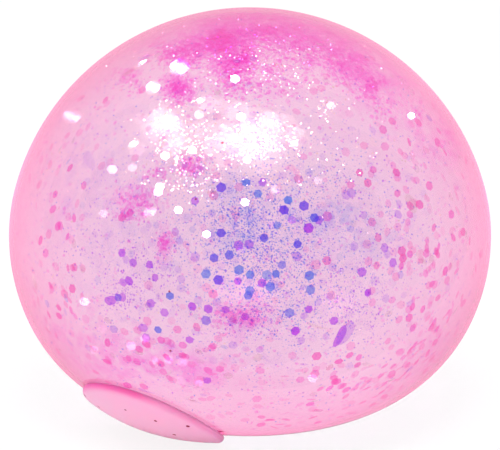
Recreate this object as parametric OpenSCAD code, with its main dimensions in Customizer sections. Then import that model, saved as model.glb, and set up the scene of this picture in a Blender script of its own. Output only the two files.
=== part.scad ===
// Squishy ball: a soft see-through skin, filled with clear liquid and film glitter, sitting on a table.
// Millimetres. The origin is the middle of the flat that is pressed on the table, and +Z is up.

/* [Ball] */
// Width at the widest ring
ball_w = 100; // [90:1:130]
// Radius of the shoulder, the round just above the widest ring
shoulder_r = 38; // [26:0.5:44]
// Depth of the crown's centre of curvature below the widest ring
crown_sink = 3.5; // [1:0.5:12]
// Radius of the belly, the round just below the widest ring
belly_r = 41; // [38:0.5:44]
// Distance of the foot's centre of curvature outside the belly's
foot_out = 6; // [4:0.5:10]
// Depth of the foot's centre of curvature below the belly's
foot_sink = 2.5; // [1:0.5:4]
// Thickness of the moulded skin
skin_t = 2.5; // [1.5:0.1:4]

/* [Filling mouth and patch] */
// Diameter of the filling mouth at the outside of the skin
mouth_d = 9; // [6:0.5:14]
// Diameter that the mouth loses through the skin
mouth_taper = 2; // [0.5:0.1:4]
// Gap round the plug, which the cement fills
plug_gap = 0.05; // [0.02:0.01:0.2]
// Lean of the patch from straight down, in degrees
patch_lean = 33; // [32:1:38]
// Turn of the patch about the ball, from the front to the left, in degrees
patch_turn = 36; // [0:1:359]
// Diameter of the patch
patch_d = 30; // [20:0.5:34]
// Thickness of the patch
patch_t = 1.25; // [0.6:0.05:2.5]
// Lean of the patch's edge, in degrees
edge_draft = 8; // [2:1:20]
// Thickness of the cement under the patch
cement_t = 0.25; // [0.1:0.05:0.5]
// Width of the cement that is squeezed out past the patch
cement_lip = 0.7; // [0.2:0.1:1.5]

/* [Filling] */
// Gap between the liquid and the skin
liquid_gap = 0.3; // [0.1:0.1:1]
// Layer of clear liquid between the glitter and the skin
clear_layer = 1; // [1:0.5:6]
// Width of the cell that each piece of glitter has to itself
cell_w = 10; // [8:0.5:14]
// Gap between a piece of glitter and the liquid round it
pocket_gap = 0.1; // [0.05:0.05:0.3]
// Width of a sequin across its flats
sequin_w = 2; // [1:0.1:4]
// Width of a fine speck across its flats
speck_w = 0.5; // [0.3:0.05:1]
// Length of a film offcut
flake_l = 4.5; // [2:0.1:6]
// Width of a film offcut
flake_w = 2; // [1:0.1:3]
// Thickness of the glitter film
film_t = 0.12; // [0.06:0.01:0.3]
// Share of the way out from the middle where the wall glitter takes over from the core glitter
core_share = 0.72; // [0.5:0.01:0.9]

/* [Hidden] */
$fn = 96;

half_w = ball_w / 2;
// The crown's centre is on the axis, and the shoulder meets the crown in line with both centres
shoulder_x = half_w - shoulder_r;
crown_r = shoulder_r + norm([shoulder_x, crown_sink]);
crown_turn = atan2(crown_sink, shoulder_x);
rise = crown_r - crown_sink;
// The tighter foot meets the belly in line with both centres, and runs level into the flat on the table
belly_x = half_w - belly_r;
flat_r = belly_x + foot_out;
foot_r = belly_r - norm([foot_out, foot_sink]);
foot_turn = -atan2(foot_sink, foot_out);
drop = foot_r + foot_sink;
// How far a round carries on under its neighbour, in degrees
lap = 10;
// Long enough to reach outside the ball from any place inside it
far = 2 * ball_w;
// Overlap that carries a cut past the face that it cuts
cut_past = 1;

cavity_inset = skin_t + liquid_gap;
reach_inset = cavity_inset + clear_layer + cell_w / 2;
reach = [half_w - reach_inset, rise - reach_inset, drop - reach_inset];

KINDS = [
    "blue_sequins", "indigo_sequins", "violet_sequins", "pink_sequins", "pearl_sequins",
    "blue_specks", "violet_specks", "magenta_specks", "pearl_specks", "film_flakes"
];
// The sequins come first in the list of kinds, then the fine specks, and the film offcuts last
sequin_kinds = 5;
flake_kind = len(KINDS) - 1;
// Share of each kind in the core and along the wall; each row adds up to 1
CORE_SHARES = [0.2, 0.15, 0.13, 0.04, 0.1, 0.15, 0.1, 0.03, 0.06, 0.04];
WALL_SHARES = [0.06, 0.06, 0.12, 0.24, 0.14, 0.06, 0.06, 0.14, 0.08, 0.04];

// The first kind, counted through the shares, at which their sum passes u
function kind_at(u, shares, k = 0) =
    u < shares[k] || k == len(shares) - 1 ? k : kind_at(u - shares[k], shares, k + 1);

// How far out a point lies: 0 in the middle of the ball, 1 where the room for glitter ends
function outness(p) = norm([p.x / reach[0], p.y / reach[0], p.z / (p.z > 0 ? reach[1] : reach[2])]);

// Width of a sequin or speck across its flats
function dot_w(k) = k < sequin_kinds ? sequin_w : speck_w;

// Width of a six-sided dot across its corners
function corner_w(flats) = flats / cos(30);

function longest(k) = k == flake_kind ? norm([flake_l, flake_w]) : corner_w(dot_w(k));

// Cells of the glitter's grid from the middle to the skin, and what a row and a layer add to a cell's seed
steps = ceil(half_w / cell_w);
row_seed = 100;
layer_seed = 10000;

// One piece of glitter in each cell of a cubic grid: [kind, place, tilt, turn], strewn within its own cell
GLITTER = [
    for (ix = [-steps : steps], iy = [-steps : steps], iz = [-steps : steps])
        let (cell = [ix, iy, iz] * cell_w, q = outness(cell))
            if (q < 1)
                let (
                    seed = ix + steps + row_seed * (iy + steps) + layer_seed * (iz + steps),
                    u = rands(0, 1, 6, seed),
                    k = kind_at(u[0], q < core_share ? CORE_SHARES : WALL_SHARES),
                    play = max(0, cell_w / 2 - longest(k) / 2 - film_t - 2 * pocket_gap),
                    turn = 360 * u[1],
                    lift = asin(2 * u[2] - 1),
                    way = [cos(turn) * cos(lift), sin(turn) * cos(lift), sin(lift)]
                )
                    [k, cell + play * pow(u[3], 1 / 3) * way, 180 * u[4], 360 * u[5]]
];

// A slice of the half plane, seen from [x, z], between two directions
module wedge(x, z, from, to) {
    middle = (from + to) / 2;
    polygon([[x, z], for (a = [from, middle, to]) [x, z] + far * [cos(a), sin(a)]]);
}

module sector(x, z, r, from, to) {
    intersection() {
        translate([x, z])
            circle(r);
        wedge(x, z, from, to);
    }
}

// A point inside the ball, halfway along a radius
function halfway(x, z, r, a) = [x, z] + r / 2 * [cos(a), sin(a)];

// Half of the ball's outline, grown outwards by a distance, with the widest ring at z = 0
module half_outline(grow) {
    sector(0, -crown_sink, crown_r + grow, crown_turn, 90);
    sector(shoulder_x, 0, shoulder_r + grow, 0, crown_turn + lap);
    sector(belly_x, 0, belly_r + grow, foot_turn, 0);
    sector(flat_r, -foot_sink, foot_r + grow, -90 - lap, foot_turn + lap);
    polygon([
        [0, -drop - grow],
        [flat_r, -drop - grow],
        halfway(flat_r, -foot_sink, foot_r, foot_turn),
        halfway(belly_x, 0, belly_r, 0),
        halfway(shoulder_x, 0, shoulder_r, crown_turn),
        halfway(0, -crown_sink, crown_r, 90)
    ]);
}

// The whole ball, grown outwards by a distance, or inwards by a negative one
module ball(grow = 0) {
    translate([0, 0, drop])
        rotate_extrude()
            half_outline(grow);
}

module shell() {
    difference() {
        ball();
        ball(-skin_t);
    }
}

// Puts a child on the patch's axis, which stands square on the foot: +Z points out of the ball
module on_patch() {
    rotate([0, 0, 270 - patch_turn])
        translate([flat_r, 0, foot_r])
            rotate([0, 180 - patch_lean, 0])
                children();
}

// The tapered filling mouth, cut past both faces of the skin, and made smaller all round by a gap
module mouth(gap = 0) {
    slope = mouth_taper / 2 / skin_t;
    inside_r = mouth_d / 2 - mouth_taper / 2 - gap;
    on_patch()
        translate([0, 0, foot_r - skin_t - cut_past])
            cylinder(
                h = skin_t + 2 * cut_past,
                r1 = inside_r - slope * cut_past,
                r2 = inside_r + slope * (skin_t + cut_past)
            );
}

// The round of the foot, which carries the patch, grown outwards by a distance
module foot(grow) {
    translate([0, 0, foot_r])
        rotate_extrude()
            sector(flat_r, 0, foot_r + grow, -90, foot_turn);
}

// A layer that lies on the foot within a circle about the patch's axis, flat where the table presses it
module layer(from, to, d) {
    edge_drop = foot_r - sqrt(pow(foot_r, 2) - pow(d / 2, 2));
    below = edge_drop + cut_past;
    above = to + cut_past;
    slope = tan(edge_draft);
    difference() {
        intersection() {
            foot(to);
            on_patch()
                translate([0, 0, foot_r - below])
                    cylinder(
                        h = below + above,
                        r1 = d / 2 + slope * cut_past,
                        r2 = d / 2 - slope * (edge_drop + above)
                    );
            translate([-far / 2, -far / 2, 0])
                cube(far);
        }
        foot(from);
    }
}

module skin() {
    color("hotpink", 0.5)
        difference() {
            shell();
            mouth();
        }
}

module fill_plug() {
    color("lightpink")
        intersection() {
            shell();
            mouth(plug_gap);
        }
}

module cement() {
    color("mistyrose")
        layer(0, cement_t, patch_d + 2 * cement_lip);
}

module seal_patch() {
    color("pink")
        layer(cement_t, cement_t + patch_t, patch_d);
}

// One piece of glitter of a kind, grown all round by a gap
module piece(k, gap) {
    if (k == flake_kind)
        cube([flake_l + 2 * gap, flake_w + 2 * gap, film_t + 2 * gap], center = true);
    else
        cylinder(h = film_t + 2 * gap, d = corner_w(dot_w(k) + 2 * gap), center = true, $fn = 6);
}

module strewn(g, gap = 0) {
    translate(g[1] + [0, 0, drop])
        rotate([g[2], 0, g[3]])
            piece(g[0], gap);
}

module all_of(name) {
    for (g = GLITTER)
        if (KINDS[g[0]] == name)
            strewn(g);
}

module liquid() {
    color("aliceblue", 0.3)
        difference() {
            ball(-cavity_inset);
            for (g = GLITTER)
                strewn(g, pocket_gap);
        }
}

module blue_sequins() {
    color("royalblue")
        all_of("blue_sequins");
}

module indigo_sequins() {
    color("slateblue")
        all_of("indigo_sequins");
}

module violet_sequins() {
    color("mediumpurple")
        all_of("violet_sequins");
}

module pink_sequins() {
    color("violet")
        all_of("pink_sequins");
}

module pearl_sequins() {
    color("ghostwhite")
        all_of("pearl_sequins");
}

module blue_specks() {
    color("mediumblue")
        all_of("blue_specks");
}

module violet_specks() {
    color("darkviolet")
        all_of("violet_specks");
}

module magenta_specks() {
    color("deeppink")
        all_of("magenta_specks");
}

module pearl_specks() {
    color("white")
        all_of("pearl_specks");
}

module film_flakes() {
    color("lavender")
        all_of("film_flakes");
}

skin();
fill_plug();
cement();
seal_patch();
liquid();
blue_sequins();
indigo_sequins();
violet_sequins();
pink_sequins();
pearl_sequins();
blue_specks();
violet_specks();
magenta_specks();
pearl_specks();
film_flakes();
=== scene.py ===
"""Squishy ball: a clear pink rubber skin, full of liquid and film glitter, with a patch on its side."""

import bpy
import numpy as np
from mathutils import Matrix


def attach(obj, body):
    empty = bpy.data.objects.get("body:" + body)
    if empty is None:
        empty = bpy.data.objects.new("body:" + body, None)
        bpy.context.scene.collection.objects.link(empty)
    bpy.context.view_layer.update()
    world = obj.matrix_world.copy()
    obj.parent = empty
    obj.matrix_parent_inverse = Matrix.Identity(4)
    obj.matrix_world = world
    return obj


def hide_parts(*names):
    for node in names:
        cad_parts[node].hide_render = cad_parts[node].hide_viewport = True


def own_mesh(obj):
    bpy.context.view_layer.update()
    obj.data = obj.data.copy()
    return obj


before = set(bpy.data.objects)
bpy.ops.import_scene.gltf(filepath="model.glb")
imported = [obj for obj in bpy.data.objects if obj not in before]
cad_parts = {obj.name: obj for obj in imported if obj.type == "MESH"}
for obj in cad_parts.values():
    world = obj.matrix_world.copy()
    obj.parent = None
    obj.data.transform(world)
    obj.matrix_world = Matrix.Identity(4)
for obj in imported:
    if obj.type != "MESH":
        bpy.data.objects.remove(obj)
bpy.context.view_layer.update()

bl_info = {
    "name": "Squishy ball",
    "version": (1, 0, 0),
    "blender": (4, 5, 0),
    "location": "View3D > Sidebar > Squishy ball",
    "description": "Builds a liquid filled glitter ball and a small studio around it",
    "category": "Add Mesh",
}

MM = 0.001
# Least length that something is divided by
TINY = 1e-9

# The photograph: its size, the pixel over the middle of the ball's widest ring, and the scale there
IMAGE_W_PX = 500
IMAGE_H_PX = 450
RING_X_PX = 250
RING_Y_PX = 234
PX_PER_MM = 4.8

# The camera: how far off it stands in metres, how steeply it looks down, and its sensor's width in mm
CAMERA_FAR = 0.5
CAMERA_LIFT = np.radians(15)
SENSOR_W = 36

# Camera axes in the part's frame: to the right, upwards in the picture, and towards the camera
TO_RIGHT = np.array([1.0, 0.0, 0.0])
TO_TOP = np.array([0.0, np.sin(CAMERA_LIFT), np.cos(CAMERA_LIFT)])
TO_CAMERA = np.array([0.0, -np.cos(CAMERA_LIFT), np.sin(CAMERA_LIFT)])


def linear(hex_colour):
    """sRGB hex to linear: (s / 12.92) for dark values, ((s + 0.055) / 1.055) ** 2.4 for the rest."""
    s = np.array([int(hex_colour[i:i + 2], 16) for i in (1, 3, 5)]) / 255
    return tuple(np.where(s <= 0.04045, s / 12.92, ((s + 0.055) / 1.055) ** 2.4).tolist())


def length_of(name, description, mm):
    return bpy.props.FloatProperty(
        name=name, description=description, default=mm * MM, min=0, unit="LENGTH", precision=5)


def turn_of(name, description, degrees):
    return bpy.props.FloatProperty(
        name=name, description=description, default=float(np.radians(degrees)), unit="ROTATION")


def colour_of(name, description, hex_colour):
    return bpy.props.FloatVectorProperty(
        name=name, description=description, default=linear(hex_colour), size=3, min=0, max=1,
        subtype="COLOR")


class BallSizes(bpy.types.PropertyGroup):
    """Sizes of the skin, the patch and the filling."""

    ball_w: length_of("Ball width", "Across the widest ring", 100)
    shoulder_r: length_of("Shoulder radius", "Round above the widest ring", 38)
    crown_sink: length_of("Crown sink", "How far the crown's centre lies under the widest ring", 3.5)
    belly_r: length_of("Belly radius", "Round under the widest ring", 41)
    foot_out: length_of("Foot out", "How far the foot's centre lies out from the belly's", 6)
    foot_sink: length_of("Foot sink", "How far the foot's centre lies under the widest ring", 2.5)
    skin_t: length_of("Skin thickness", "Rubber wall, as thin as its colour makes it look", 0.8)
    liquid_gap: length_of("Liquid gap", "Between the skin and the liquid", 0.3)
    mouth_d: length_of("Mouth width", "Filling mouth at the outside of the skin", 9)
    mouth_taper: length_of("Mouth taper", "How much narrower the mouth is inside", 2)
    plug_gap: length_of("Plug gap", "Between the stopper and the mouth", 0.05)
    patch_lean: turn_of("Patch lean", "Of the patch's axis, out from straight down", 33)
    patch_turn: turn_of("Patch turn", "Of the patch round the ball, from the front to the left", 36)
    patch_d: length_of("Patch width", "Across the patch, along the skin", 30)
    patch_t: length_of("Patch thickness", "Rubber of the patch", 1.25)
    patch_dome: length_of("Patch dome", "How much higher the patch is in its middle", 0.7)
    patch_round: length_of("Patch edge round", "Rounding of the patch's outer edge", 1.0)
    cement_t: length_of("Cement thickness", "Film under the patch", 0.25)
    cement_lip: length_of("Cement lip", "How far the cement stands out round the patch", 0.7)


class GlitterSizes(bpy.types.PropertyGroup):
    """Sizes of the cut film."""

    sequin_w: length_of("Dot width", "Across the flats of a six-sided dot", 1.75)
    speck_w: length_of("Speck width", "Across a fine speck", 0.36)
    haze_w: length_of("Haze width", "Across the haze of the finest pearly glitter", 88)
    haze_h: length_of("Haze height", "Height of that haze", 62)
    cloud_w: length_of("Cloud width", "Across a patch that stands for a cloud of the finest glitter", 3)
    flake_l: length_of("Offcut length", "Length of a larger film offcut", 4.5)
    flake_w: length_of("Offcut width", "Width of a larger film offcut", 2)
    film_t: length_of("Film thickness", "Thickness of the film", 0.06)
    clear_layer: length_of("Clear layer", "Liquid between the wall and the outermost glitter", 0.3)


class BallColours(bpy.types.PropertyGroup):
    """Colours of the rubber, the liquid and the film."""

    skin_tint: colour_of("Skin tint", "White light after a long way through the skin", "#FF2CC6")
    skin_sheen: colour_of("Skin sheen", "Milky look of the skin along its outline", "#FF90C0")
    haze_tint: colour_of("Haze tint", "White light after a long way through the haze", "#BCBCBC")
    liquid_tint: colour_of("Liquid tint", "White light after a long way through the liquid", "#D4B0D8")
    patch_face: colour_of("Patch face", "Flat of the patch", "#FFB4D6")
    patch_edge: colour_of("Patch edge", "Edge of the patch, where one looks along the rubber", "#FF6CB0")
    cement: colour_of("Cement", "Line of cement round the patch", "#FFF4F8")
    plug: colour_of("Stopper", "Stopper in the filling mouth", "#FFE0EC")
    blue: colour_of("Blue film", "Blue dots and specks", "#7C78FF")
    cyan: colour_of("Sky film", "Lightest of the blue dots", "#6CB0FF")
    indigo: colour_of("Indigo film", "Blue-violet dots", "#7E40FF")
    violet: colour_of("Violet film", "Violet dots, specks and offcuts", "#CC44FF")
    lilac: colour_of("Lilac film", "Palest of the violet dots", "#DCC8FF")
    pink: colour_of("Pink film", "Pink dots", "#FF70E4")
    rose: colour_of("Rose film", "Deepest of the pink dots", "#FF30C8")
    hot_pink: colour_of("Hot pink film", "Warmest of the fine magenta glitter", "#FF58F0")
    magenta: colour_of("Magenta film", "Fine magenta glitter", "#FF20EE")
    pearl: colour_of("Pearl film", "White dots and offcuts", "#FFFDF4")
    cream: colour_of("Cream film", "Warmest of the white dots", "#FFFBF4")
    sparkle: colour_of("Sparkle film", "Fine white glitter, a warm white", "#FFF6D8")


def sizes():
    return bpy.context.scene.ball_sizes


def cut_sizes():
    return bpy.context.scene.glitter_sizes


def colours():
    return bpy.context.scene.ball_colours


# Shapes

# Points along the ball's outline: on its flat, foot, belly, shoulder and crown; and steps round it
OUTLINE_POINTS = (10, 44, 12, 12, 52)
BALL_STEPS = 144


def unit(vectors):
    """Vectors set to length 1."""
    return vectors / np.linalg.norm(vectors, axis=-1, keepdims=True)


def full_turn(steps):
    """Angles in equal steps through a full turn, without its end."""
    return np.linspace(0, 2 * np.pi, steps, endpoint=False)


def foot_radius():
    """Radius of the foot's arc, which starts where the belly's ends."""
    s = sizes()
    return s.belly_r - np.hypot(s.foot_out, s.foot_sink)


def flat_radius():
    """Radius of the flat that the ball stands on."""
    s = sizes()
    return s.ball_w / 2 - s.belly_r + s.foot_out


def ring_height():
    """Height of the widest ring over the table."""
    return foot_radius() + sizes().foot_sink


def ball_middle():
    """Middle of the widest ring."""
    return np.array([0, 0, ring_height()])


def half_outline(grow):
    """Half of the ball's upright section, from the middle of its flat to the crown, grown by a distance.

    A straight flat, then four arcs that run into each other: foot, belly, shoulder and crown. Each arc is
    its centre plus (radius + grow) times (cos a, sin a). Returns x, z and the outward direction's x and z.
    """
    s = sizes()
    belly_x = s.ball_w / 2 - s.belly_r
    shoulder_x = s.ball_w / 2 - s.shoulder_r
    crown_r = s.shoulder_r + np.hypot(shoulder_x, s.crown_sink)
    crown_turn = np.arctan2(s.crown_sink, shoulder_x)
    foot_turn = -np.arctan2(s.foot_sink, s.foot_out)
    arcs = (
        (flat_radius(), -s.foot_sink, foot_radius(), -np.pi / 2, foot_turn),
        (belly_x, 0, s.belly_r, foot_turn, 0),
        (shoulder_x, 0, s.shoulder_r, 0, crown_turn),
        (0, -s.crown_sink, crown_r, crown_turn, np.pi / 2),
    )
    on_flat, *on_arcs = OUTLINE_POINTS
    a = [np.full(on_flat, -np.pi / 2)]
    x = [np.linspace(0, flat_radius(), on_flat, endpoint=False)]
    z = [np.full(on_flat, -ring_height() - grow)]
    for (centre_x, centre_z, r, start, end), n in zip(arcs, on_arcs):
        turn = np.linspace(start, end, n, endpoint=end == np.pi / 2)
        a.append(turn)
        x.append(centre_x + (r + grow) * np.cos(turn))
        z.append(centre_z + (r + grow) * np.sin(turn))
    a, x, z = np.concatenate(a), np.concatenate(x), np.concatenate(z) + ring_height()
    x[0] = x[-1] = 0
    return x, z, np.cos(a), np.sin(a)


def lathe(x, z, steps):
    """Profile (x, z) carried once round the upright axis: (x cos t, x sin t, z), t through a full turn."""
    t = full_turn(steps)
    return np.stack([np.outer(x, np.cos(t)), np.outer(x, np.sin(t)), np.outer(z, np.ones(steps))], axis=-1)


def round_form(rings, inside_out=False):
    """Points and faces of a closed round form, from a grid (ring, step round) whose end rings are points.

    Each end ring becomes one point, with a fan of triangles, and the rings between are joined by quads.
    """
    n, steps = rings.shape[:2]
    points = np.concatenate([
        rings[0].mean(0, keepdims=True), rings[1:-1].reshape(-1, 3), rings[-1].mean(0, keepdims=True)])
    step = np.arange(steps)
    following = (step + 1) % steps
    row = 1 + steps * np.arange(n - 3)[:, None]
    quads = np.stack([row + step, row + following, row + steps + following, row + steps + step], axis=-1)
    last_row = 1 + steps * (n - 3)
    first = np.stack([np.zeros(steps, int), 1 + following, 1 + step], axis=-1)
    last = np.stack([np.full(steps, len(points) - 1), last_row + step, last_row + following], axis=-1)
    faces = [quads.reshape(-1, 4), first, last]
    if inside_out:
        faces = [f[:, ::-1] for f in faces]
    return points, faces


def ball_form(grow, inside_out=False):
    """The ball's outline, grown by a distance and carried round."""
    x, z = half_outline(grow)[:2]
    return round_form(lathe(x, z, BALL_STEPS), inside_out)


def grid_quads(rows, columns):
    """Faces between the neighbours in a grid of points that is numbered row by row."""
    grid = np.arange(rows * columns).reshape(rows, columns)
    return np.stack([grid[:-1, :-1], grid[1:, :-1], grid[1:, 1:], grid[:-1, 1:]], axis=-1).reshape(-1, 4)


def new_piece(name, points, faces, material, smooth=True, shade=None):
    """A mesh object at the origin from an array of points and a list of arrays of faces, with a material.

    shade holds named values for each point, which the material reads as attributes.
    """
    mesh = bpy.data.meshes.new(name)
    mesh.from_pydata(points.tolist(), [], [f for part in faces for f in part.tolist()])
    if mesh.validate():
        raise RuntimeError(f"{name} has faces that can't be used")
    mesh.polygons.foreach_set("use_smooth", np.full(len(mesh.polygons), smooth))
    for key, values in (shade or {}).items():
        mesh.attributes.new(key, "FLOAT", "POINT").data.foreach_set("value", values.astype(np.float32))
    mesh.materials.append(material)
    mesh.update()
    obj = bpy.data.objects.new(name, mesh)
    bpy.context.scene.collection.objects.link(obj)
    return obj


def put_in_place(obj, body, node):
    """The piece rides on a body and stands for a CAD node, whose part it hides, and gets a mesh of its own.
    """
    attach(obj, body)
    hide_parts(node)
    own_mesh(obj)


def patch_axes():
    """Hub of the foot's round under the patch, and the patch's axes: two across it and one outwards."""
    s = sizes()
    round_turn = 1.5 * np.pi - s.patch_turn
    outwards = np.array([np.cos(round_turn), np.sin(round_turn), 0])
    across = np.array([-np.sin(round_turn), np.cos(round_turn), 0])
    out = np.sin(s.patch_lean) * outwards - np.array([0, 0, np.cos(s.patch_lean)])
    hub = flat_radius() * outwards + np.array([0, 0, foot_radius()])
    return hub, across, np.cross(out, across), out


def on_foot(along, grow, steps):
    """A profile laid on the foot, round the patch's axis: how far along the skin, and how far above it.

    The point at arc length `along` goes out from the hub at the angle along / foot radius, is set square on
    the foot's round, `grow` away from it, and is pressed flat by the table.
    """
    hub, across, up, out = patch_axes()
    foot_r = foot_radius()
    t = full_turn(steps)
    lean = along[:, None, None] / foot_r
    sideways = np.cos(t)[:, None] * across + np.sin(t)[:, None] * up
    rough = hub + foot_r * (np.cos(lean) * out + np.sin(lean) * sideways)
    to_axis = np.hypot(rough[..., 0], rough[..., 1])[..., None]
    centre = np.concatenate([
        rough[..., :2] * flat_radius() / to_axis, np.full_like(to_axis, foot_r)], axis=-1)
    points = centre + (foot_r + grow[:, None, None]) * unit(rough - centre)
    points[..., 2] = np.maximum(points[..., 2], 0)
    return points


def wall_point(way, inset):
    """Where a line from the middle of the widest ring meets the ball's outline, shrunk by an inset.

    The outline is read as a table of distance against height angle. Returns points and outward directions.
    """
    x, z, out_x, out_z = half_outline(-inset)
    z = z - ring_height()
    angle = np.arctan2(z, x)
    height_angle = np.arcsin(np.clip(way[:, 2], -1, 1))
    far = np.interp(height_angle, angle, np.hypot(x, z))
    level = np.interp(height_angle, angle, out_x)
    upright = np.interp(height_angle, angle, out_z)
    flat_way = way[:, :2] / np.maximum(np.linalg.norm(way[:, :2], axis=1, keepdims=True), TINY)
    out = np.column_stack([flat_way * level[:, None], upright])
    return way * far[:, None] + ball_middle(), unit(out)


# How far out glitter can lie in the picture, as a share of the outline, and how often its depth is solved
OUTLINE_SHARE = 0.985
DEPTH_ROUNDS = 4


def way_to_pixel(px, side, inset):
    """Way from the ball's middle to the wall under a pixel, on the near side (1) or the far side (-1).

    The place across the picture is fixed by the pixel, and its depth is solved in a few rounds, because the
    wall isn't a sphere and nearer places look larger. A pixel outside the outline is folded back inside it.
    """
    plane = (px - np.array([RING_X_PX, RING_Y_PX])) * np.array([1, -1]) / PX_PER_MM * MM
    depth = np.zeros(len(px))
    far = np.full(len(px), sizes().ball_w / 2 - inset)
    for _ in range(DEPTH_ROUNDS):
        flat = plane * (1 - depth / CAMERA_FAR)[:, None]
        reach = np.maximum(np.linalg.norm(flat, axis=1), TINY)
        folded = np.maximum(2 * OUTLINE_SHARE * far - reach, 0)
        flat *= (np.minimum(reach, folded) / reach)[:, None]
        depth = side * np.sqrt(np.maximum(far ** 2 - (flat ** 2).sum(1), 0))
        way = unit(flat[:, :1] * TO_RIGHT + flat[:, 1:] * TO_TOP + depth[:, None] * TO_CAMERA)
        far = np.linalg.norm(wall_point(way, inset)[0] - ball_middle(), axis=1)
    return way


def seen_at(points):
    """Pixels at which points show in the picture, and how far they stand towards the camera.

    The pixel is that of the widest ring's middle plus the way across, and nearer points look larger.
    """
    way = points - ball_middle()
    depth = way @ TO_CAMERA
    scale = PX_PER_MM / MM / (1 - depth / CAMERA_FAR)
    return RING_X_PX + way @ TO_RIGHT * scale, RING_Y_PX - way @ TO_TOP * scale, depth


# Materials

# Mix node sockets for colours
MIX_A, MIX_B, MIX_OUT = 6, 7, 2

# How the wall, the liquid and the haze dim light: each colour loses this times (1 - tint) per metre
SKIN_DENSITY = 140
LIQUID_DENSITY = 0.8
HAZE_DENSITY = 0.3

# How much of the paper's look is plain white where it is seen straight
PAPER_WHITE = 0.85


def add(tree, kind, attrs=None, inputs=None):
    """Adds a node: attrs are its own settings, inputs its sockets' values, or sockets to link them to."""
    new = tree.nodes.new(kind)
    for key, value in (attrs or {}).items():
        setattr(new, key, value)
    for key, value in (inputs or {}).items():
        if isinstance(value, bpy.types.NodeSocket):
            tree.links.new(value, new.inputs[key])
        else:
            new.inputs[key].default_value = value
    return new


def rgba(colour):
    """A linear colour as a socket takes it."""
    return (*colour, 1)


def new_material(name):
    """An empty material, its node tree, and the place on the object that its patterns read."""
    material = bpy.data.materials.new(name)
    material.use_nodes = True
    tree = material.node_tree
    tree.nodes.clear()
    return material, tree, add(tree, "ShaderNodeTexCoord").outputs["Object"]


def clouded(tree, place, first, second, wide_mm, detail, distortion=0):
    """Clouds about so many millimetres wide, and a colour that runs from the first to the second."""
    cloud = add(tree, "ShaderNodeTexNoise", inputs={
        "Vector": place, "Scale": 1 / (wide_mm * MM), "Detail": detail, "Distortion": distortion})
    colour = add(tree, "ShaderNodeMix", {"data_type": "RGBA"}, {
        "Factor": cloud.outputs["Fac"], MIX_A: rgba(first), MIX_B: rgba(second)})
    return cloud.outputs["Fac"], colour.outputs[MIX_OUT]


def dust(tree, place, colour, apart_mm, rarity, grain_mm):
    """A colour with a few dark red grains of dust on it: the middles of some cells of a pattern."""
    cells = add(tree, "ShaderNodeTexVoronoi", inputs={"Vector": place, "Scale": 1 / (apart_mm * MM)})
    grain = add(tree, "ShaderNodeMath", {"operation": "LESS_THAN"}, {
        0: cells.outputs["Distance"], 1: grain_mm / 2 / apart_mm})
    pick = add(tree, "ShaderNodeSeparateColor", inputs={"Color": cells.outputs["Color"]})
    rare = add(tree, "ShaderNodeMath", {"operation": "GREATER_THAN"}, {0: pick.outputs[0], 1: rarity})
    spot = add(tree, "ShaderNodeMath", {"operation": "MULTIPLY"}, {0: grain.outputs[0], 1: rare.outputs[0]})
    return add(tree, "ShaderNodeMix", {"data_type": "RGBA"}, {
        "Factor": spot.outputs[0], MIX_A: colour, MIX_B: rgba(linear("#8C0430"))}).outputs[MIX_OUT]


def skin_rubber():
    """Clear pink vinyl rubber, moulded: glossy outside, pinker the further one looks along the wall.

    Liquid inside takes away most of the bending of light, so the index is near 1 and the gloss is a coat.
    """
    material, tree, place = new_material("clear_pink_rubber_moulded")
    outside = add(tree, "ShaderNodeAttribute", {"attribute_name": "outside"}).outputs["Fac"]
    clinging = add(tree, "ShaderNodeAttribute", {"attribute_name": "clinging"}).outputs["Fac"]
    # Slow changes of the wall
    _, wall = clouded(tree, place, linear("#FFFFFF"), linear("#FFF3F9"), wide_mm=14, detail=3,
                      distortion=1.2)
    # A fine moulded grain, drawn at 0.7 mm so that it shows
    grain = add(tree, "ShaderNodeTexNoise", inputs={"Vector": place, "Scale": 1 / (0.7 * MM), "Detail": 2})
    bump = add(tree, "ShaderNodeBump", inputs={
        "Height": grain.outputs["Fac"], "Strength": 0.06, "Distance": 0.1 * MM})
    # The finest magenta glitter clings to the inside in smears, about 3.5 mm wide
    smear = add(tree, "ShaderNodeTexNoise", inputs={
        "Vector": place, "Scale": 1 / (3.5 * MM), "Detail": 4, "Distortion": 1.5})
    streak = add(tree, "ShaderNodeMapRange", inputs={
        "Value": smear.outputs["Fac"], "From Min": 0.35, "From Max": 0.65, "To Min": 0.3, "To Max": 1.6})
    cover = add(tree, "ShaderNodeMath", {"operation": "MULTIPLY"}, {0: clinging, 1: streak.outputs[0]})
    smeared = add(tree, "ShaderNodeMix", {"data_type": "RGBA"}, {
        "Factor": cover.outputs[0], MIX_A: wall, MIX_B: rgba(colours().magenta)})
    dusty = dust(tree, place, smeared.outputs[MIX_OUT], apart_mm=5, rarity=0.94, grain_mm=0.5)
    shader = add(tree, "ShaderNodeBsdfPrincipled", inputs={
        "Base Color": dusty, "Roughness": 0.03, "IOR": 1.02, "Transmission Weight": 1,
        "Coat Weight": outside, "Coat Roughness": 0.26, "Coat IOR": 1.4, "Coat Normal": bump.outputs[0],
        "Sheen Weight": outside, "Sheen Roughness": 0.4, "Sheen Tint": rgba(colours().skin_sheen)})
    volume = add(tree, "ShaderNodeVolumeAbsorption", inputs={
        "Color": rgba(colours().skin_tint), "Density": SKIN_DENSITY})
    add(tree, "ShaderNodeOutputMaterial", inputs={
        "Surface": shader.outputs[0], "Volume": volume.outputs[0]})
    return material


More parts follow.
